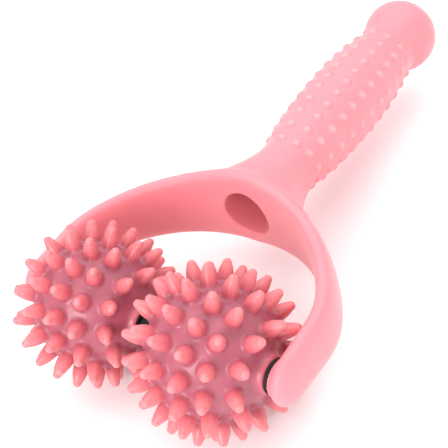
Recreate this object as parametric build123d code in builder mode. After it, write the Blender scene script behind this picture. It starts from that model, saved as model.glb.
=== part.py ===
"""Hand roller massager: two spiked balls that spin on one axle, held in a yoke with a grip.

Millimetres. +X runs along the axle, from the left ball to the right ball. +Y runs along the
handle, away from the balls. +Z is up. The origin is under the middle of the object, on the
surface that the balls stand on when the handle is held level.
"""

import os
from math import acos, atan2, cos, degrees, radians, sin, sqrt

from build123d import *

# ---- Driving dimensions ------------------------------------------------------------------
BALL_TIP_R = 35.0  # ball centre to spike tips
BALL_SKIN_R = 26.0  # ball centre to the skin between the spikes
BALL_WALL = 3.0
BALL_CENTRE_X = 31.0  # each ball's distance from the middle of the axle

AXLE_R = 3.0
RUNNING_GAP = 0.05  # radial, hub on axle
SIDE_GAP = 0.2  # along the axle, between parts that turn past each other

POMMEL_Y = 206.5  # pommel's centre, from the axle
POMMEL_R = 18.2  # across the handle
POMMEL_HALF_LENGTH = 16.2  # along it

ARM_X = 65.0  # yoke's centreline along the arms, from the middle
ARCH_R = 69.5  # yoke's centreline over the top
SHOULDER_R = 35.0  # yoke's centreline where the arch turns into the arms
ARCH_Y = 70.9  # top of the arch's centreline, from the axle
ARM_END_Y = 1.4  # centre of the arms' round ends, from the axle
STRAP_HALF_THICK = (3.9, 4.4)  # at the arch, at the arms
STRAP_HALF_HEIGHT = (19.5, 10.3)  # at the arch, at the arms
STRAP_TAPER = 1.2  # 1 narrows evenly, more narrows soonest near the arch
YOKE_SECTIONS = 10  # on each side of the top

NECK_R = 14.0  # handle, where the flare starts
NECK_Y = 100.5
FLARE_R = 39.4  # concave sweep from the handle's neck to the yoke
FLARE_END_Y = 66.0
FLARE_SECTIONS = 7
FLARE_HALF_HEIGHT = 19.6

BORE_R = 11.3  # blind bore in the handle, open between the arms
BORE_CUT_FROM_Y = 57.6  # in the open space between the arms
BORE_END_Y = 170.0
BORE_LEAD_IN_Y = 68.0  # where the mouth starts to widen towards the balls
BORE_LEAD_IN = 4.0

# Grip: half-widths of its bulge along the handle.
GRIP = ((100.5, 14.0), (107.0, 15.1), (118.0, 16.8), (132.0, 18.0), (148.0, 18.5), (162.0, 18.1),
        (175.0, 16.8), (186.0, 15.1), (195.5, 13.6))
GRIP_END_TAPER = 0.2
NUB_COLUMNS = 12
NUB_FIRST_ANGLE = 4.0
NUB_ROWS = 11
NUB_FIRST_Y = 103.0
NUB_PITCH_Y = 8.3
NUB_SHIFTED_COLUMNS = (4, 5, 6, 7)  # half a pitch further up the handle
NUB_R = 2.1
NUB_HEIGHT = 1.1

# Spikes: rings about the axle, from the pole on the +X side to the other.
SPIKE_RINGS = ((36.8, 10), (59.0, 14), (77.3, 17), (98.3, 17), (118.9, 15), (141.2, 11))
SPIKE_TURNS = {
    "left": (11.4, 20.7, 15.0, 14.9, 12.6, 4.8),
    "right": (18.4, 7.4, 1.0, 21.1, 6.2, 6.6),
}
SPIKE_LEAN = {"left": -2.3, "right": 2.8}  # degrees that each ball's rings are turned about +Y
SPIKE_BASE_R = 3.1
SPIKE_TIP_R = 1.8
SPIKE_SIDE_BULGE = 0.45
SPIKE_ROOT_DEPTH = 1.2  # how far a spike's solid starts below the skin

# Hubs: two halves that meet in the middle of each ball and clamp its poles.
COLLAR_R = 7.4  # raised flat collar round each pole
COLLAR_FROM_X = 24.0
COLLAR_END_X = 27.4  # from the ball's centre
POLE_HOLE_R = 4.2
FLANGE_R = 6.2
FLANGE_THICK = 0.8
TUBE_R = 4.0
BARB_R = 5.0
BARB_LENGTH = 2.0
SPIGOT_R = 3.5
SPIGOT_LENGTH = 6.0
SPIGOT_GAP = 0.05

SPACER_R = 4.4
WASHER_R = 7.0
BOSS_R = 7.2
BOSS_FACING = 1.0  # depth of the facing cut that levels each boss
SOCKET_DEPTH = 6.2
SOCKET_GAP = 0.02
AXLE_CHAMFER = 0.5
SEAM_TURN = 19.0  # degrees, keeps the turned faces' seams between two columns of nubs

# ---- Worked out --------------------------------------------------------------------------
AXLE_Z = BALL_TIP_R
AXLE_Y = (BALL_TIP_R - POMMEL_Y - POMMEL_HALF_LENGTH) / 2
ARM_INNER_X = ARM_X - STRAP_HALF_THICK[1]
HUB_END_X = COLLAR_END_X + FLANGE_THICK  # from the ball's centre
HUB_BORE_R = AXLE_R + RUNNING_GAP
SHOULDER_X = ARM_X - SHOULDER_R
ARCH_CENTRE_Y = ARCH_Y - ARCH_R
SHOULDER_Y = ARCH_CENTRE_Y + sqrt((ARCH_R - SHOULDER_R) ** 2 - SHOULDER_X**2)
SHOULDER_ANGLE = degrees(atan2(SHOULDER_Y - ARCH_CENTRE_Y, SHOULDER_X))

axle_line = Plane(origin=(0, AXLE_Y, AXLE_Z), x_dir=(0, 1, 0), z_dir=(1, 0, 0))
handle_line = Plane(origin=(0, AXLE_Y, AXLE_Z), x_dir=(1, 0, 0), z_dir=(0, 1, 0))
plan = Plane(origin=(0, AXLE_Y, AXLE_Z), x_dir=(1, 0, 0), z_dir=(0, 0, 1))
seam = radians(SEAM_TURN)
across_seam = (cos(seam), 0, sin(seam))
off_seam = (-sin(seam), 0, cos(seam))
grip_plan = Plane(origin=(0, AXLE_Y, AXLE_Z), x_dir=across_seam, z_dir=off_seam)
bore_line = Plane(origin=(0, AXLE_Y, AXLE_Z), x_dir=across_seam, z_dir=(0, 1, 0))

os.makedirs("parts", exist_ok=True)


def ring(x, outer_r, inner_r):
    """A flat ring about the axle's line."""
    with BuildSketch(axle_line.offset(x)) as face:
        Circle(outer_r)
        Circle(inner_r, mode=Mode.SUBTRACT)
    return face.sketch


def disc(x, r):
    """A flat disc about the axle's line."""
    with BuildSketch(axle_line.offset(x)) as face:
        Circle(r)
    return face.sketch


# ---- Axle and what sits still on it ------------------------------------------------------
axle_half = ARM_INNER_X + SOCKET_DEPTH - SIDE_GAP
with BuildPart() as axle_rod:
    extrude(disc(-axle_half, AXLE_R), amount=2 * axle_half)
    chamfer(axle_rod.edges().filter_by(GeomType.CIRCLE), AXLE_CHAMFER)
axle_rod.part.label = "axle_rod"
export_step(axle_rod.part, "parts/axle_rod.step")

spacer_half = BALL_CENTRE_X - HUB_END_X - SIDE_GAP
with BuildPart() as centre_spacer:
    extrude(ring(-spacer_half, SPACER_R, HUB_BORE_R), amount=2 * spacer_half)
centre_spacer.part.label = "centre_spacer"
export_step(centre_spacer.part, "parts/centre_spacer.step")

washer_from = BALL_CENTRE_X + HUB_END_X + SIDE_GAP
washer_length = ARM_INNER_X - washer_from
for side, sign in (("left", -1), ("right", 1)):
    with BuildPart() as arm_washer:
        extrude(ring(sign * washer_from, WASHER_R, HUB_BORE_R), amount=sign * washer_length)
    arm_washer.part.label = f"{side}_arm_washer"
    export_step(arm_washer.part, f"parts/{side}_arm_washer.step")

# ---- One spike, standing on the XY plane -------------------------------------------------
spike_length = BALL_TIP_R - BALL_SKIN_R
tip_centre = spike_length - SPIKE_TIP_R
side_middle = ((SPIKE_BASE_R + SPIKE_TIP_R) / 2 + SPIKE_SIDE_BULGE, tip_centre / 2)
with BuildPart() as spike:
    with BuildSketch(Plane.XZ):
        with BuildLine():
            Line((0, -SPIKE_ROOT_DEPTH), (SPIKE_BASE_R, -SPIKE_ROOT_DEPTH))
            Line((SPIKE_BASE_R, -SPIKE_ROOT_DEPTH), (SPIKE_BASE_R, 0))
            ThreePointArc((SPIKE_BASE_R, 0), side_middle, (SPIKE_TIP_R, tip_centre))
            RadiusArc((SPIKE_TIP_R, tip_centre), (0, spike_length), -SPIKE_TIP_R)
            Line((0, spike_length), (0, -SPIKE_ROOT_DEPTH))
        make_face()
    revolve(axis=Axis.Z)


def spike_places(side, centre):
    """Where each spike stands on the skin of one ball."""
    places = []
    lean = radians(SPIKE_LEAN[side])
    for (polar, count), turn in zip(SPIKE_RINGS, SPIKE_TURNS[side]):
        for i in range(count):
            a = radians(turn + i * 360 / count)
            p = radians(polar)
            x, y, z = cos(p), sin(p) * cos(a), sin(p) * sin(a)
            out = Vector(x * cos(lean) + z * sin(lean), y, z * cos(lean) - x * sin(lean))
            places.append(Plane(origin=centre + out * BALL_SKIN_R, z_dir=out).location)
    return places


# ---- Balls and their hubs ----------------------------------------------------------------
for side, sign in (("left", -1), ("right", 1)):
    ball_x = sign * BALL_CENTRE_X
    centre = Vector(ball_x, AXLE_Y, AXLE_Z)

    with BuildPart() as spiked_ball:
        # Hollow skin with a collar and a hole at each pole, turned about the axle's line.
        collar_length = COLLAR_END_X - COLLAR_FROM_X
        collar_middle = COLLAR_FROM_X + collar_length / 2
        with BuildSketch(plan):
            with Locations((ball_x, 0)):
                Circle(BALL_SKIN_R)
                Circle(BALL_SKIN_R - BALL_WALL, mode=Mode.SUBTRACT)
            with Locations((ball_x - collar_middle, 0), (ball_x + collar_middle, 0)):
                Rectangle(collar_length, 2 * COLLAR_R)
            with Locations((ball_x, 0)):
                Rectangle(2 * BALL_TIP_R, 2 * POLE_HOLE_R, mode=Mode.SUBTRACT)
                below = (Align.CENTER, Align.MAX)
                Rectangle(2 * BALL_TIP_R, BALL_TIP_R, align=below, mode=Mode.SUBTRACT)
        revolve(axis=Axis(centre, (1, 0, 0)))
        with Locations(*spike_places(side, centre)):
            add(spike.part)
    spiked_ball.part.label = f"{side}_spiked_ball"
    export_step(spiked_ball.part, f"parts/{side}_spiked_ball.step")

    # The outer half carries the socket, and the inner half the spigot.
    barb_x = sqrt((BALL_SKIN_R - BALL_WALL) ** 2 - BARB_R**2) - SIDE_GAP
    for half, end in (("outer", sign), ("inner", -sign)):
        with BuildPart() as hub:
            extrude(ring(ball_x, TUBE_R, HUB_BORE_R), amount=end * HUB_END_X)
            extrude(ring(ball_x + end * COLLAR_END_X, FLANGE_R, HUB_BORE_R), amount=end * FLANGE_THICK)
            extrude(ring(ball_x + end * barb_x, BARB_R, HUB_BORE_R), amount=-end * BARB_LENGTH)
            if half == "outer":
                socket_depth = SPIGOT_LENGTH + SIDE_GAP
                extrude(disc(ball_x, SPIGOT_R + SPIGOT_GAP), amount=end * socket_depth, mode=Mode.SUBTRACT)
            else:
                extrude(ring(ball_x, SPIGOT_R, HUB_BORE_R), amount=-end * SPIGOT_LENGTH)
        hub.part.label = f"{side}_hub_{half}"
        export_step(hub.part, f"parts/{side}_hub_{half}.step")


# ---- Handle frame: yoke, flare, grip and pommel in one moulding --------------------------
def arch_point(along):
    """Point and outward direction on the yoke's centreline, 0 at the top to 1 at the arm's end."""
    arch_length = radians(90 - SHOULDER_ANGLE) * ARCH_R
    shoulder_length = radians(SHOULDER_ANGLE) * SHOULDER_R
    arm_length = SHOULDER_Y - ARM_END_Y
    run = along * (arch_length + shoulder_length + arm_length)
    if run < arch_length:
        a = radians(90) - run / ARCH_R
        return ARCH_R * cos(a), ARCH_CENTRE_Y + ARCH_R * sin(a), a
    if run < arch_length + shoulder_length:
        a = radians(SHOULDER_ANGLE) - (run - arch_length) / SHOULDER_R
        return SHOULDER_X + SHOULDER_R * cos(a), SHOULDER_Y + SHOULDER_R * sin(a), a
    return ARM_X, SHOULDER_Y - (run - arch_length - shoulder_length), 0.0


def strap_half_sizes(along):
    """Half-thickness and half-height of the strap, 0 at the top to 1 at the arm's end."""
    (thick, end_thick), (height, end_height) = STRAP_HALF_THICK, STRAP_HALF_HEIGHT
    height_left = (1 - along) ** STRAP_TAPER
    return thick + (end_thick - thick) * along, end_height + (height - end_height) * height_left


def flare_half_width(y):
    return NECK_R + FLARE_R - sqrt(FLARE_R**2 - (NECK_Y - y) ** 2)


def flare_half_height(y):
    t = (NECK_Y - y) / (NECK_Y - FLARE_END_Y)
    return NECK_R + (FLARE_HALF_HEIGHT - NECK_R) * t * t * (3 - 2 * t)


def grip_radius(y):
    """Half-width of the grip between two of its stated places."""
    for (y0, r0), (y1, r1) in zip(GRIP, GRIP[1:]):
        if y0 <= y <= y1:
            return r0 + (r1 - r0) * (y - y0) / (y1 - y0)
    raise ValueError(f"{y} is off the grip")


def nub_places():
    """Where the small balls sit whose tops stand out of the grip as nubs, each facing outwards."""
    places = []
    for column in range(NUB_COLUMNS):
        a = radians(NUB_FIRST_ANGLE + column * 360 / NUB_COLUMNS)
        shift = NUB_PITCH_Y / 2 if column in NUB_SHIFTED_COLUMNS else 0
        for row in range(NUB_ROWS):
            y = NUB_FIRST_Y + row * NUB_PITCH_Y + shift
            r = grip_radius(y) + NUB_HEIGHT - NUB_R
            centre = (r * cos(a), AXLE_Y + y, AXLE_Z + r * sin(a))
            seat = Plane(origin=centre, x_dir=(-cos(a), 0, -sin(a)), z_dir=(0, 1, 0))
            places.append(seat.location)
    return places


with BuildPart() as handle_frame:
    # Yoke strap: oval sections that slim down from the arch to the arms.
    for i in range(-YOKE_SECTIONS, YOKE_SECTIONS + 1):
        along = abs(i) / YOKE_SECTIONS
        x, y, a = arch_point(along)
        if i < 0:
            x, a = -x, radians(180) - a
        outward = Vector(cos(a), sin(a), 0)
        across = Plane(origin=(x, AXLE_Y + y, AXLE_Z), x_dir=outward,
                       z_dir=outward.cross(Vector(0, 0, 1)))
        with BuildSketch(across):
            Ellipse(*strap_half_sizes(along))
    loft()
    # Round arm ends, each half of a flattened ball.
    for sign in (-1, 1):
        arm_end = Plane(origin=(sign * ARM_X, AXLE_Y + ARM_END_Y, AXLE_Z),
                        x_dir=(-sign, 0, 0), z_dir=(0, -1, 0))
        with BuildSketch(arm_end):
            Ellipse(STRAP_HALF_THICK[1], STRAP_HALF_HEIGHT[1])
            Rectangle(4 * STRAP_HALF_THICK[1], 2 * STRAP_HALF_HEIGHT[1], align=(Align.CENTER, Align.MIN),
                      mode=Mode.INTERSECT)
        revolve(axis=Axis(arm_end.origin, (-sign, 0, 0)), revolution_arc=180)
    # Flare from the neck of the handle down to the arch.
    for i in range(FLARE_SECTIONS + 1):
        y = NECK_Y + (FLARE_END_Y - NECK_Y) * i / FLARE_SECTIONS
        with BuildSketch(handle_line.offset(y)):
            Ellipse(flare_half_width(y), flare_half_height(y))
    loft()
    # Grip and pommel, turned about the handle's axis.
    neck_y, neck_r = GRIP[-1]
    meets_grip = -acos(neck_r / POMMEL_R)
    turns = (meets_grip, meets_grip / 2, 0, radians(30), radians(60), radians(90))
    with BuildSketch(grip_plan):
        with BuildLine():
            Line((0, NECK_Y), (NECK_R, NECK_Y))
            Spline([(r, y) for y, r in GRIP], tangents=((0, 1), (-GRIP_END_TAPER, 1)))
            oval = [(POMMEL_R * cos(a), POMMEL_Y + POMMEL_HALF_LENGTH * sin(a)) for a in turns]
            start = (-POMMEL_R * sin(meets_grip), POMMEL_HALF_LENGTH * cos(meets_grip))
            pommel = Spline(oval, tangents=(start, (-1, 0)))
            Line((neck_r, neck_y), pommel @ 0)
            Line(pommel @ 1, (0, NECK_Y))
        make_face()
    revolve(axis=Axis((0, AXLE_Y, AXLE_Z), (0, 1, 0)))
    with Locations(*nub_places()):
        Sphere(NUB_R)
    # Flat bosses that the washers stand against, with blind sockets for the axle's ends.
    for sign in (-1, 1):
        inner_x = sign * ARM_INNER_X
        extrude(disc(inner_x, BOSS_R), amount=sign * STRAP_HALF_THICK[1])
        extrude(disc(inner_x, BOSS_R), amount=-sign * BOSS_FACING, mode=Mode.SUBTRACT)
        extrude(disc(inner_x, AXLE_R + SOCKET_GAP), amount=sign * SOCKET_DEPTH, mode=Mode.SUBTRACT)
    # Blind bore up the handle.
    with BuildSketch(bore_line.offset(BORE_CUT_FROM_Y)):
        Circle(BORE_R)
    extrude(amount=BORE_END_Y - BORE_CUT_FROM_Y, mode=Mode.SUBTRACT)
    with Locations(bore_line.offset(BORE_LEAD_IN_Y - BORE_LEAD_IN / 2)):
        Cone(BORE_R + BORE_LEAD_IN, BORE_R, BORE_LEAD_IN, mode=Mode.SUBTRACT)
handle_frame.part.label = "handle_frame"
export_step(handle_frame.part, "parts/handle_frame.step")
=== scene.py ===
"""Looks of the hand roller massager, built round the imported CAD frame.

The moulded handle frame and the two spiked balls are meshed from distance fields, so that their
spikes, nubs and flare grow out of the surface with soft roots. Field sizes are in millimetres
from the middle of the axle, with +X along the axle, +Y up the handle and +Z up.
"""

import math

import bpy
import numpy as np
from mathutils import Matrix, Vector


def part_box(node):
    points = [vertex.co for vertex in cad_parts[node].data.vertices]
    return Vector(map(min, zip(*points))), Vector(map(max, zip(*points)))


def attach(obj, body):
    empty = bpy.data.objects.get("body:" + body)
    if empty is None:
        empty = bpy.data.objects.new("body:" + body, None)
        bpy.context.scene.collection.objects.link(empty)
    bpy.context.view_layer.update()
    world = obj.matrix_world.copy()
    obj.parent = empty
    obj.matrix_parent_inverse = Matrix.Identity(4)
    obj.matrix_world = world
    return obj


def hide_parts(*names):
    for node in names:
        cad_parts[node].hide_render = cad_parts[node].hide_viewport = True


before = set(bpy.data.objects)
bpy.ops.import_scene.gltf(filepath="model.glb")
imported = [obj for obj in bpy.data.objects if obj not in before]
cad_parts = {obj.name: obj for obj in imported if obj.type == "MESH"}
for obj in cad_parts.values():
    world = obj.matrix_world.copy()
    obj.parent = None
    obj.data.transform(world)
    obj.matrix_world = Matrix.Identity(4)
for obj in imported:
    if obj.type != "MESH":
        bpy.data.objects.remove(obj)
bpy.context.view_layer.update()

MM = 0.001


def middle(node):
    low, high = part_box(node)
    return np.array((low + high) / 2 / MM)


AXLE = middle("axle_rod")

# ---- Sizes of the moulded frame ----------------------------------------------------------
ARM_X = 65.0
ARCH_R = 69.5
SHOULDER_R = 35.0
ARCH_Y = 70.9
ARM_END_Y = 1.4
STRAP_HALF_THICK = (3.9, 4.4)  # at the top of the arch, at the arms' ends
STRAP_HALF_HEIGHT = (19.5, 10.3)
STRAP_TAPER = 1.2
STRAP_SQUARENESS = (2.9, 2.3)  # 2 is an ellipse, and more is squarer
BOSS_R = 7.2
BOSS_BLEND = 1.0
SOCKET_R = 3.3
SOCKET_DEPTH = 6.2

NECK_R = 14.0
NECK_Y = 100.5
FLARE_R = 39.4
FLARE_END_Y = 66.0
FLARE_HALF_HEIGHT = 18.3  # the blend adds to it
FLARE_SQUARENESS = 2.6
INNER_FACE_BLEND = 0.3  # between strap and flare, on the strap's inner face
FLARE_BLEND = 4.0  # what the outer face has on top of that
STALK_END_ROUNDING = 2.5
BORE_R = 11.3
BORE_END_Y = 170.0
BORE_END_ROUNDING = 3.0
BORE_RIM = 1.0

GRIP = ((100.5, 14.0), (107.0, 15.1), (118.0, 16.8), (132.0, 18.0), (148.0, 18.5), (162.0, 18.1),
        (175.0, 16.8), (186.0, 15.1), (195.5, 13.6))
GRIP_END_TAPER = 0.2
POMMEL_Y = 206.5
POMMEL_R = 18.2
POMMEL_HALF_LENGTH = 16.2
POMMEL_BLEND = 2.5
NUB_COLUMNS = 12
NUB_FIRST_ANGLE = 4.0
NUB_ROWS = 11
NUB_FIRST_Y = 103.0
NUB_PITCH_Y = 8.3
NUB_SHIFTED_COLUMNS = (4, 5, 6, 7)
NUB_R = 2.1
NUB_HEIGHT = 1.25
NUB_BLEND = 0.9

# ---- Sizes of the balls ------------------------------------------------------------------
SKIN_R = 26.0
SKIN_WALL = 3.0
SPIKE_RINGS = ((36.8, 10), (59.0, 14), (77.3, 17), (98.3, 17), (118.9, 15), (141.2, 11))
SPIKE_TURNS = {
    "left": (11.4, 20.7, 15.0, 14.9, 12.6, 4.8),
    "right": (18.4, 7.4, 1.0, 21.1, 6.2, 6.6),
}
SPIKE_LEAN = {"left": -2.3, "right": 2.8}
SPIKE_LENGTH = 9.0
SPIKE_BASE_R = 3.0
SPIKE_TIP_R = 1.8
SPIKE_BULGE = 0.5
SPIKE_BLEND = 1.8
COLLAR_R = 7.4
COLLAR_END_X = 27.4
COLLAR_BLEND = 2.5
COLLAR_EDGE_ROUNDING = 1.5
POLE_HOLE_R = 4.2

# ---- Sizes of the meshes: grid boxes and steps in millimetres, and triangles --------------
FRAME_GRID = ((-73, -13, -23), (73, 227, 23), 0.75)
FRAME_TRIANGLES = 185_000
BALL_GRID = ((-36.5, -36.5, -36.5), (36.5, 36.5, 36.5), 0.7)
BALL_TRIANGLES = 170_000

ARCH_CENTRE_Y = ARCH_Y - ARCH_R
SHOULDER_X = ARM_X - SHOULDER_R
SHOULDER_Y = ARCH_CENTRE_Y + math.sqrt((ARCH_R - SHOULDER_R) ** 2 - SHOULDER_X**2)
SHOULDER_ANGLE = math.atan2(SHOULDER_Y - ARCH_CENTRE_Y, SHOULDER_X)
ARCH_RUN = (math.pi / 2 - SHOULDER_ANGLE) * ARCH_R
SHOULDER_RUN = SHOULDER_ANGLE * SHOULDER_R
STRAP_RUN = ARCH_RUN + SHOULDER_RUN + SHOULDER_Y - ARM_END_Y


# ---- Distance fields ---------------------------------------------------------------------
def blend_min(a, b, width):
    """The union of two fields, with a soft fillet where they meet."""
    near = np.maximum(width - np.abs(a - b), 0) / width
    return np.minimum(a, b) - near * near * width / 4


def blend_max(a, b, width):
    return -blend_min(-a, -b, width)


def smooth_step(t):
    t = np.clip(t, 0, 1)
    return t * t * (3 - 2 * t)


def oval(u, v, half_u, half_v, squareness):
    """Distance, near the surface, to a bar whose section is a rounded oval."""
    a = np.abs(u) / half_u
    b = np.abs(v) / half_v
    size = np.maximum(a**squareness + b**squareness, 1e-9) ** (1 / squareness)
    pull_u = (a / size) ** (squareness - 1) / half_u
    pull_v = (b / size) ** (squareness - 1) / half_v
    return (size - 1) / np.hypot(pull_u, pull_v)


def strap_place(x, y):
    """Offset outwards from the strap's centreline, and the run along it from the top of the arch."""
    side = np.abs(x)
    rise = y - ARCH_CENTRE_Y
    arch_angle = np.arctan2(rise, side)
    turn = np.arctan2(y - SHOULDER_Y, side - SHOULDER_X)
    in_arch = arch_angle > SHOULDER_ANGLE
    in_shoulder = ~in_arch & (y > SHOULDER_Y)
    offset = np.where(in_arch, np.hypot(side, rise) - ARCH_R,
                      np.where(in_shoulder, np.hypot(side - SHOULDER_X, y - SHOULDER_Y) - SHOULDER_R,
                               side - ARM_X))
    run = np.where(in_arch, (math.pi / 2 - arch_angle) * ARCH_R,
                   np.where(in_shoulder, ARCH_RUN + (SHOULDER_ANGLE - turn) * SHOULDER_R,
                            ARCH_RUN + SHOULDER_RUN + SHOULDER_Y - y))
    return offset, run


def strap_field(offset, run, z):
    """The arch and the arms, which thicken and grow less tall towards the arms' round ends."""
    along = np.clip(run / STRAP_RUN, 0, 1)
    thick = STRAP_HALF_THICK[0] + (STRAP_HALF_THICK[1] - STRAP_HALF_THICK[0]) * along
    arch_height, arm_height = STRAP_HALF_HEIGHT
    height = arm_height + (arch_height - arm_height) * (1 - along) ** STRAP_TAPER
    past_end = np.maximum(run - STRAP_RUN, 0)
    squareness = STRAP_SQUARENESS[0] + (STRAP_SQUARENESS[1] - STRAP_SQUARENESS[0]) * along
    return oval(offset, np.hypot(z, past_end), thick, height, squareness)


def grip_radius(y):
    """A smooth curve through the grip's radii."""
    ys, rs = np.array(GRIP).T
    slopes = np.gradient(rs, ys)
    slopes[0], slopes[-1] = 0, -GRIP_END_TAPER
    i = np.clip(np.searchsorted(ys, y) - 1, 0, len(ys) - 2)
    gap = ys[i + 1] - ys[i]
    t = np.clip((y - ys[i]) / gap, 0, 1)
    return (rs[i] * (1 + 2 * t) * (1 - t) ** 2 + rs[i + 1] * t * t * (3 - 2 * t)
            + gap * (slopes[i] * t * (1 - t) ** 2 - slopes[i + 1] * t * t * (1 - t)))


def stalk_half_sizes(y):
    """Half-width and half-height of the flare and the grip."""
    down = np.clip(NECK_Y - y, 0, NECK_Y - FLARE_END_Y)
    share = smooth_step(down / (NECK_Y - FLARE_END_Y))
    grip = grip_radius(y)
    width = np.where(down > 0, NECK_R + FLARE_R - np.sqrt(FLARE_R**2 - down**2), grip)
    height = np.where(down > 0, NECK_R + (FLARE_HALF_HEIGHT - NECK_R) * share, grip)
    return width, height


def stalk_field(x, y, z):
    """The flare and the grip."""
    width, height = stalk_half_sizes(y)
    width_on, height_on = stalk_half_sizes(y + 0.1)
    squareness = 2 + (FLARE_SQUARENESS - 2) * smooth_step((NECK_Y - y) / (NECK_Y - FLARE_END_Y))
    steepness = np.maximum(np.abs(width_on - width), np.abs(height_on - height)) / 0.1
    return oval(x, z, width, height, squareness) / np.hypot(1, steepness)


def nub_field(x, y, z):
    """The nearest of the small spheres whose tops stand out of the grip."""
    pitch = 2 * math.pi / NUB_COLUMNS
    first = math.radians(NUB_FIRST_ANGLE)
    column = np.round((np.arctan2(z, x) - first) / pitch)
    angle = first + column * pitch
    shifted = np.isin(column % NUB_COLUMNS, NUB_SHIFTED_COLUMNS)
    start = NUB_FIRST_Y + np.where(shifted, NUB_PITCH_Y / 2, 0)
    row = np.clip(np.round((y - start) / NUB_PITCH_Y), 0, NUB_ROWS - 1)
    nub_y = start + row * NUB_PITCH_Y
    out = grip_radius(nub_y) + NUB_HEIGHT - NUB_R
    nub_x, nub_z = out * np.cos(angle), out * np.sin(angle)
    return np.sqrt((x - nub_x) ** 2 + (y - nub_y) ** 2 + (z - nub_z) ** 2) - NUB_R


def handle_field(p):
    """The whole moulded frame."""
    x, y, z = p.T
    offset, run = strap_place(x, y)
    strap = strap_field(offset, run, z)
    axle_distance = np.hypot(y, z)
    inner_x = ARM_X - STRAP_HALF_THICK[1]
    boss = np.maximum(axle_distance - BOSS_R, np.maximum(inner_x - np.abs(x), np.abs(x) - ARM_X))
    strap = blend_min(strap, boss, BOSS_BLEND)
    socket = np.maximum(axle_distance - SOCKET_R, np.abs(x) - inner_x - SOCKET_DEPTH)
    strap = np.maximum(strap, -socket)

    stalk = stalk_field(x, y, z)
    centreline_r = ARCH_R - np.hypot(x, y - ARCH_CENTRE_Y)
    stalk = blend_max(stalk, np.maximum(centreline_r, y - POMMEL_Y), STALK_END_ROUNDING)
    outward = smooth_step((offset + STRAP_HALF_THICK[0]) / (2 * STRAP_HALF_THICK[0]))
    body = blend_min(strap, stalk, INNER_FACE_BLEND + FLARE_BLEND * outward)
    body = blend_min(body, nub_field(x, y, z), NUB_BLEND)
    pommel = oval(np.hypot(x, z), y - POMMEL_Y, POMMEL_R, POMMEL_HALF_LENGTH, 2)
    body = blend_min(body, pommel, POMMEL_BLEND)
    bore = blend_max(np.hypot(x, z) - BORE_R, y - BORE_END_Y, BORE_END_ROUNDING)
    return blend_max(body, -bore, BORE_RIM)


def spike_directions(side):
    """Outward directions of one ball's spikes, in rings about the axle."""
    out = []
    for (polar, count), turn in zip(SPIKE_RINGS, SPIKE_TURNS[side]):
        p = math.radians(polar)
        for i in range(count):
            a = math.radians(turn + i * 360 / count)
            out.append((math.cos(p), math.sin(p) * math.cos(a), math.sin(p) * math.sin(a)))
    lean = Matrix.Rotation(math.radians(SPIKE_LEAN[side]), 3, "Y")
    return np.array(out) @ np.array(lean).T


def ball_field(directions):
    """The field of one ball about its own centre."""

    def field(p):
        reach = np.linalg.norm(p, axis=1)
        nearest = directions[np.argmax(p @ directions.T, axis=1)]
        up = np.einsum("ij,ij->i", p, nearest)
        across = np.sqrt(np.maximum(reach**2 - up**2, 0))
        # Spike: a round-ended cone that stands on the skin.
        length = SPIKE_LENGTH - SPIKE_TIP_R
        lean = (SPIKE_BASE_R - SPIKE_TIP_R) / length
        upright = math.sqrt(1 - lean**2)
        up = up - SKIN_R
        along = across * -lean + up * upright
        spike = np.where(along < 0, np.hypot(across, up) - SPIKE_BASE_R,
                         np.where(along > upright * length, np.hypot(across, up - length) - SPIKE_TIP_R,
                                  across * upright + up * lean - SPIKE_BASE_R))
        t = np.clip(up / length, 0, 1)
        spike = spike - SPIKE_BULGE * 4 * t * (1 - t)
        body = blend_min(reach - SKIN_R, spike, SPIKE_BLEND)
        # Hollow inside, with a flat-ended collar and a hole at each pole for the hubs.
        pole_r = np.hypot(p[:, 1], p[:, 2])
        collar = blend_max(pole_r - COLLAR_R, np.abs(p[:, 0]) - COLLAR_END_X, COLLAR_EDGE_ROUNDING)
        body = blend_min(body, collar, COLLAR_BLEND)
        body = np.maximum(body, np.abs(p[:, 0]) - np.where(pole_r < COLLAR_R, COLLAR_END_X, np.inf))
        body = np.maximum(body, SKIN_R - SKIN_WALL - reach)
        return np.maximum(body, POLE_HOLE_R - pole_r)

    return field


# ---- From a field to a mesh --------------------------------------------------------------
def sampled(field, points, slab=400_000):
    """The field at many points, a slab of them at a time."""
    return np.concatenate([field(points[i:i + slab]) for i in range(0, len(points), slab)])


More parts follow.
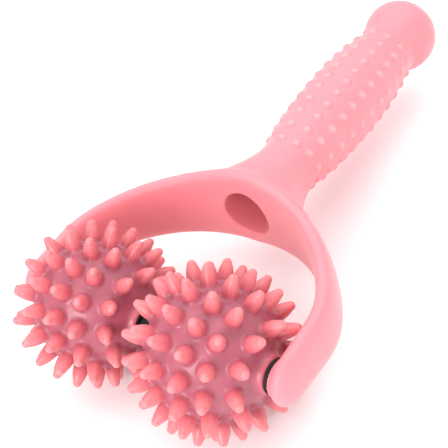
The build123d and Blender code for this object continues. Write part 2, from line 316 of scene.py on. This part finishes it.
def contour(field, low, high, step):
    """Corners and quads of the field's zero surface, one corner in each grid cell that it crosses."""
    axes = [np.arange(a, b + step, step) for a, b in zip(low, high)]
    shape = tuple(len(a) for a in axes)
    values = np.empty(shape)
    for i, x in enumerate(axes[0]):
        yy, zz = np.meshgrid(axes[1], axes[2], indexing="ij")
        points = np.stack((np.full(yy.size, x), yy.ravel(), zz.ravel()), axis=1)
        values[i] = field(points).reshape(shape[1:])
    inside = values < 0
    cells = tuple(n - 1 for n in shape)
    total = np.zeros((np.prod(cells), 3))
    count = np.zeros(np.prod(cells))
    rings = []
    for axis in range(3):
        near = np.moveaxis(inside, axis, 0)[:-1]
        far = np.moveaxis(inside, axis, 0)[1:]
        cut = np.stack(np.nonzero(near != far), axis=1)
        leaving = near[tuple(cut.T)]
        grid = np.empty_like(cut)
        others = [d for d in range(3) if d != axis]
        grid[:, axis] = cut[:, 0]
        grid[:, others[0]] = cut[:, 1]
        grid[:, others[1]] = cut[:, 2]
        one_on = np.zeros(3, int)
        one_on[axis] = 1
        a = values[tuple(grid.T)]
        b = values[tuple((grid + one_on).T)]
        place = grid.astype(float)
        place[:, axis] += a / (a - b)
        first, second = (axis + 1) % 3, (axis + 2) % 3
        ring = []
        for back_first, back_second in ((1, 1), (0, 1), (0, 0), (1, 0)):
            cell = grid.copy()
            cell[:, first] -= back_first
            cell[:, second] -= back_second
            index = np.ravel_multi_index(tuple(cell.T), cells)
            for d in range(3):
                total[:, d] += np.bincount(index, place[:, d], len(count))
            count += np.bincount(index, minlength=len(count))
            ring.append(index)
        ring = np.stack(ring, axis=1)
        ring[~leaving] = ring[~leaving][:, ::-1]
        rings.append(ring)
    used = np.nonzero(count)[0]
    renumber = np.full(len(count), -1)
    renumber[used] = np.arange(len(used))
    corners = total[used] / count[used, None] * step + np.array([a[0] for a in axes])
    return corners, renumber[np.concatenate(rings)]


def slope(field, points, reach=0.05):
    """The field's gradient."""
    out = np.empty_like(points)
    for d in range(3):
        nudge = np.zeros(3)
        nudge[d] = reach
        out[:, d] = (sampled(field, points + nudge) - sampled(field, points - nudge)) / (2 * reach)
    return out


def onto_surface(field, points, steps=3, furthest=0.3):
    """Moves each point to the field's zero surface."""
    for _ in range(steps):
        g = slope(field, points)
        move = sampled(field, points)[:, None] * g / np.maximum((g * g).sum(axis=1), 1e-6)[:, None]
        size = np.maximum(np.linalg.norm(move, axis=1), 1e-9)[:, None]
        points = points - move * np.minimum(1, furthest / size)
    return points


def moulded_piece(name, field, low, high, step, triangles, place, raised):
    """A mesh object of the field's surface, thinned to a number of triangles, in the row frame.

    raised(points) gives, from 0 to 1, how far each point stands out, which the material reads.
    """
    corners, quads = contour(field, low, high, step)
    corners = onto_surface(field, corners)
    mesh = bpy.data.meshes.new(name)
    mesh.from_pydata(corners, [], quads.tolist())
    piece = bpy.data.objects.new(name, mesh)
    bpy.context.scene.collection.objects.link(piece)
    made = 2 * len(quads)
    if made > triangles:
        thin = piece.modifiers.new("thin", "DECIMATE")
        thin.ratio = triangles / made
        thin_piece = piece.evaluated_get(bpy.context.evaluated_depsgraph_get())
        thinned = bpy.data.meshes.new_from_object(thin_piece)
        piece.modifiers.clear()
        piece.data = thinned
        bpy.data.meshes.remove(mesh)
        mesh = thinned
    points = np.empty(3 * len(mesh.vertices), np.float32)
    mesh.vertices.foreach_get("co", points)
    points = onto_surface(field, points.reshape(-1, 3).astype(float), steps=2, furthest=0.1)
    standing_out = mesh.attributes.new("raised", "FLOAT", "POINT")
    standing_out.data.foreach_set("value", raised(points))
    normals = slope(field, points)
    normals /= np.linalg.norm(normals, axis=1)[:, None]
    mesh.vertices.foreach_set("co", ((points + place) * MM).astype(np.float32).ravel())
    mesh.polygons.foreach_set("use_smooth", np.ones(len(mesh.polygons), bool))
    mesh.normals_split_custom_set_from_vertices(normals)
    mesh.name = name
    mesh.update()
    return piece


# ---- Materials ---------------------------------------------------------------------------
class Nodes:
    """A material with its shader and the object's own coordinates."""

    def __init__(self, name, colour, roughness, **settings):
        self.material = bpy.data.materials.new(name)
        self.material.use_nodes = True
        self.tree = self.material.node_tree
        self.shader = self.tree.nodes["Principled BSDF"]
        self.shader.inputs["Base Color"].default_value = (*colour, 1)
        self.shader.inputs["Roughness"].default_value = roughness
        for key, value in settings.items():
            self.shader.inputs[key.replace("_", " ")].default_value = value
        self.object_place = self.add("ShaderNodeTexCoord").outputs["Object"]

    def add(self, kind, **values):
        node = self.tree.nodes.new(kind)
        for key, value in values.items():
            setattr(node, key, value)
        return node

    def link(self, source, target):
        self.tree.links.new(source, target)

    def noise(self, scale, detail=2.0, roughness=0.5):
        node = self.add("ShaderNodeTexNoise")
        node.inputs["Scale"].default_value = scale
        node.inputs["Detail"].default_value = detail
        node.inputs["Roughness"].default_value = roughness
        self.link(self.object_place, node.inputs["Vector"])
        return node.outputs["Fac"]

    def spread(self, value, low, high, to_low=0.0, to_high=1.0):
        node = self.add("ShaderNodeMapRange")
        ends = {"From Min": low, "From Max": high, "To Min": to_low, "To Max": to_high}
        for key, number in ends.items():
            node.inputs[key].default_value = number
        self.link(value, node.inputs["Value"])
        return node.outputs["Result"]

    def mix(self, factor, a, b):
        node = self.add("ShaderNodeMix", data_type="RGBA")
        self.link(factor, node.inputs["Factor"])
        for socket, colour in ((node.inputs["A"], a), (node.inputs["B"], b)):
            if isinstance(colour, tuple):
                socket.default_value = (*colour, 1)
            else:
                self.link(colour, socket)
        return node.outputs["Result"]

    def raised(self, low, high):
        """How far the surface stands out, from the mesh's own attribute."""
        node = self.add("ShaderNodeAttribute", attribute_name="raised")
        return self.spread(node.outputs["Fac"], low, high)

    def bump(self, height, strength, distance):
        node = self.add("ShaderNodeBump")
        node.inputs["Strength"].default_value = strength
        node.inputs["Distance"].default_value = distance
        self.link(height, node.inputs["Height"])
        self.link(node.outputs["Normal"], self.shader.inputs["Normal"])


def srgb(r, g, b):
    """Linear colour from the usual 0 to 255 values, for colours above the curve's straight toe."""
    return tuple(((c / 255 + 0.055) / 1.055) ** 2.4 for c in (r, g, b))


PINK = srgb(243, 142, 151)
DEEP_PINK = srgb(240, 136, 146)
NUB_HIGHLIGHT_PINK = srgb(247, 160, 166)
CORAL = srgb(216, 110, 120)
CORAL_TIP_HIGHLIGHT = srgb(232, 130, 134)
DUSKY_ROSE = srgb(180, 92, 110)
DEEP_ROSE = srgb(168, 82, 100)
FLESH_REACH = (1.0, 0.3, 0.3)


def raised_nubs(points):
    """0 on the plain surface to 1 on the tops of the grip's nubs, where the handle's material paints a
    highlight.
    """
    x, y, z = points.T
    out = smooth_step((np.hypot(x, z) - grip_radius(y)) / NUB_HEIGHT)
    on_grip = smooth_step((y - NECK_Y) / NUB_R) * smooth_step((GRIP[-1][0] - y) / NUB_R)
    return out * on_grip


def raised_spikes(points):
    """0 on the skin to 1 at the tips of the spikes; the balls' material paints a highlight towards the
    tips from it.
    """
    return np.clip((np.linalg.norm(points, axis=1) - SKIN_R) / SPIKE_LENGTH, 0, 1)


def handle_plastic():
    """Soft-touch pink plastic, a little deeper in places, with a painted highlight that makes the tops
    of the nubs paler.
    """
    m = Nodes("handle_plastic", PINK, 0.42, Subsurface_Weight=0.3, Subsurface_Scale=0.004,
              Subsurface_Radius=FLESH_REACH, Sheen_Weight=0.15)
    clouds = m.spread(m.noise(22, detail=3), 0.3, 0.7)
    base = m.mix(clouds, DEEP_PINK, PINK)
    # Painted highlight: the tops of the nubs are mixed towards a paler pink.
    m.link(m.mix(m.raised(0.15, 1.0), base, NUB_HIGHLIGHT_PINK), m.shader.inputs["Base Color"])
    m.link(m.spread(m.noise(260, detail=4), 0.3, 0.7, 0.36, 0.5), m.shader.inputs["Roughness"])
    m.bump(m.noise(1800, detail=3), 0.12, 0.00015)
    return m.material


def ball_vinyl(name):
    """Vinyl, dusky on the skin and coral on the spikes, with a painted highlight towards the spike tips
    and a thin glossy coat all over.
    """
    m = Nodes(name, CORAL, 0.4, Subsurface_Weight=0.3, Subsurface_Scale=0.003,
              Subsurface_Radius=FLESH_REACH, Coat_Weight=0.25, Coat_Roughness=0.22)
    skin = m.mix(m.spread(m.noise(60, detail=3), 0.3, 0.7), DEEP_ROSE, DUSKY_ROSE)
    # Painted highlight: the spikes are mixed towards a paler coral at their tips.
    spike = m.mix(m.raised(0.3, 1.0), CORAL, CORAL_TIP_HIGHLIGHT)
    m.link(m.mix(m.raised(0.02, 0.28), skin, spike), m.shader.inputs["Base Color"])
    m.link(m.spread(m.noise(180, detail=3), 0.35, 0.7, 0.28, 0.5), m.shader.inputs["Roughness"])
    m.bump(m.noise(240, detail=4), 0.35, 0.0004)
    return m.material


def plain(name, colour, roughness, metallic=0.0):
    m = Nodes(name, colour, roughness, Metallic=metallic)
    m.bump(m.noise(1500), 0.15, 0.0001)
    return m.material


def give(piece, material):
    piece.data.materials.clear()
    piece.data.materials.append(material)


# ---- Pieces ------------------------------------------------------------------------------
handle = moulded_piece("moulded_handle_frame", handle_field, *FRAME_GRID, FRAME_TRIANGLES, AXLE,
                       raised_nubs)
give(handle, handle_plastic())
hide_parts("handle_frame")
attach(handle, "frame")

for side in ("left", "right"):
    place = np.array((middle(f"{side}_spiked_ball")[0], AXLE[1], AXLE[2]))
    field = ball_field(spike_directions(side))
    ball = moulded_piece(f"{side}_ball_skin", field, *BALL_GRID, BALL_TRIANGLES, place, raised_spikes)
    give(ball, ball_vinyl(f"{side}_ball_vinyl"))
    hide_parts(f"{side}_spiked_ball")
    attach(ball, f"{side}_ball")

black = plain("black_nylon", (0.004, 0.004, 0.005), 0.6)
steel = plain("axle_steel", (0.6, 0.6, 0.61), 0.3, 1.0)
for node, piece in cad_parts.items():
    if node == "axle_rod":
        give(piece, steel)
    elif node not in ("handle_frame", "left_spiked_ball", "right_spiked_ball"):
        give(piece, black)


# ---- Floor, light and camera -------------------------------------------------------------
def floor():
    mesh = bpy.data.meshes.new("floor")
    half = 3.0
    corners = ((-half, -half, 0), (half, -half, 0), (half, half, 0), (-half, half, 0))
    mesh.from_pydata(corners, [], [(0, 1, 2, 3)])
    piece = bpy.data.objects.new("floor", mesh)
    bpy.context.scene.collection.objects.link(piece)
    give(piece, Nodes("pale_floor", (0.97, 0.97, 0.97), 0.9).material)


floor()

world = bpy.data.worlds.new("studio")
world.use_nodes = True
world.node_tree.nodes["Background"].inputs["Color"].default_value = (1, 1, 1, 1)
world.node_tree.nodes["Background"].inputs["Strength"].default_value = 0.92
bpy.context.scene.world = world
bpy.context.scene.view_settings.view_transform = "Standard"

CAMERA_AZIMUTH = 49.61
CAMERA_ELEVATION = 39.98
CAMERA_ROLL = -20.42
CAMERA_PLACE = (214.4, -129.5, 243.3)  # from the middle of the axle
CAMERA_LENS = 70.8


def studio_camera():
    """The camera, whose azimuth 0 looks along +Y."""
    a, e = math.radians(CAMERA_AZIMUTH), math.radians(CAMERA_ELEVATION)
    back = Vector((math.sin(a) * math.cos(e), -math.cos(a) * math.cos(e), math.sin(e)))
    right = Vector((0, 0, 1)).cross(back).normalized()
    up = back.cross(right)
    turn = Matrix((right, up, back)).transposed().to_4x4()
    turn = turn @ Matrix.Rotation(math.radians(CAMERA_ROLL), 4, "Z")
    data = bpy.data.cameras.new("camera")
    data.lens = CAMERA_LENS
    data.clip_start, data.clip_end = 0.01, 20
    camera = bpy.data.objects.new("camera", data)
    bpy.context.scene.collection.objects.link(camera)
    camera.matrix_world = Matrix.Translation(Vector((AXLE + CAMERA_PLACE) * MM)) @ turn
    bpy.context.scene.camera = camera


studio_camera()


def soft_light(name, place, size, power):
    """A square area light that looks at the middle of the object."""
    data = bpy.data.lights.new(name, "AREA")
    data.size = size
    data.energy = power
    light = bpy.data.objects.new(name, data)
    bpy.context.scene.collection.objects.link(light)
    light.location = place
    light.rotation_mode = "QUATERNION"
    light.rotation_quaternion = (Vector(place) - Vector((0, 0, 0.03))).to_track_quat("Z", "Y")


soft_light("key", (-0.1, 0.3, 1.0), 1.5, 9)
soft_light("front_fill", (0.15, -0.9, 0.5), 0.5, 6)
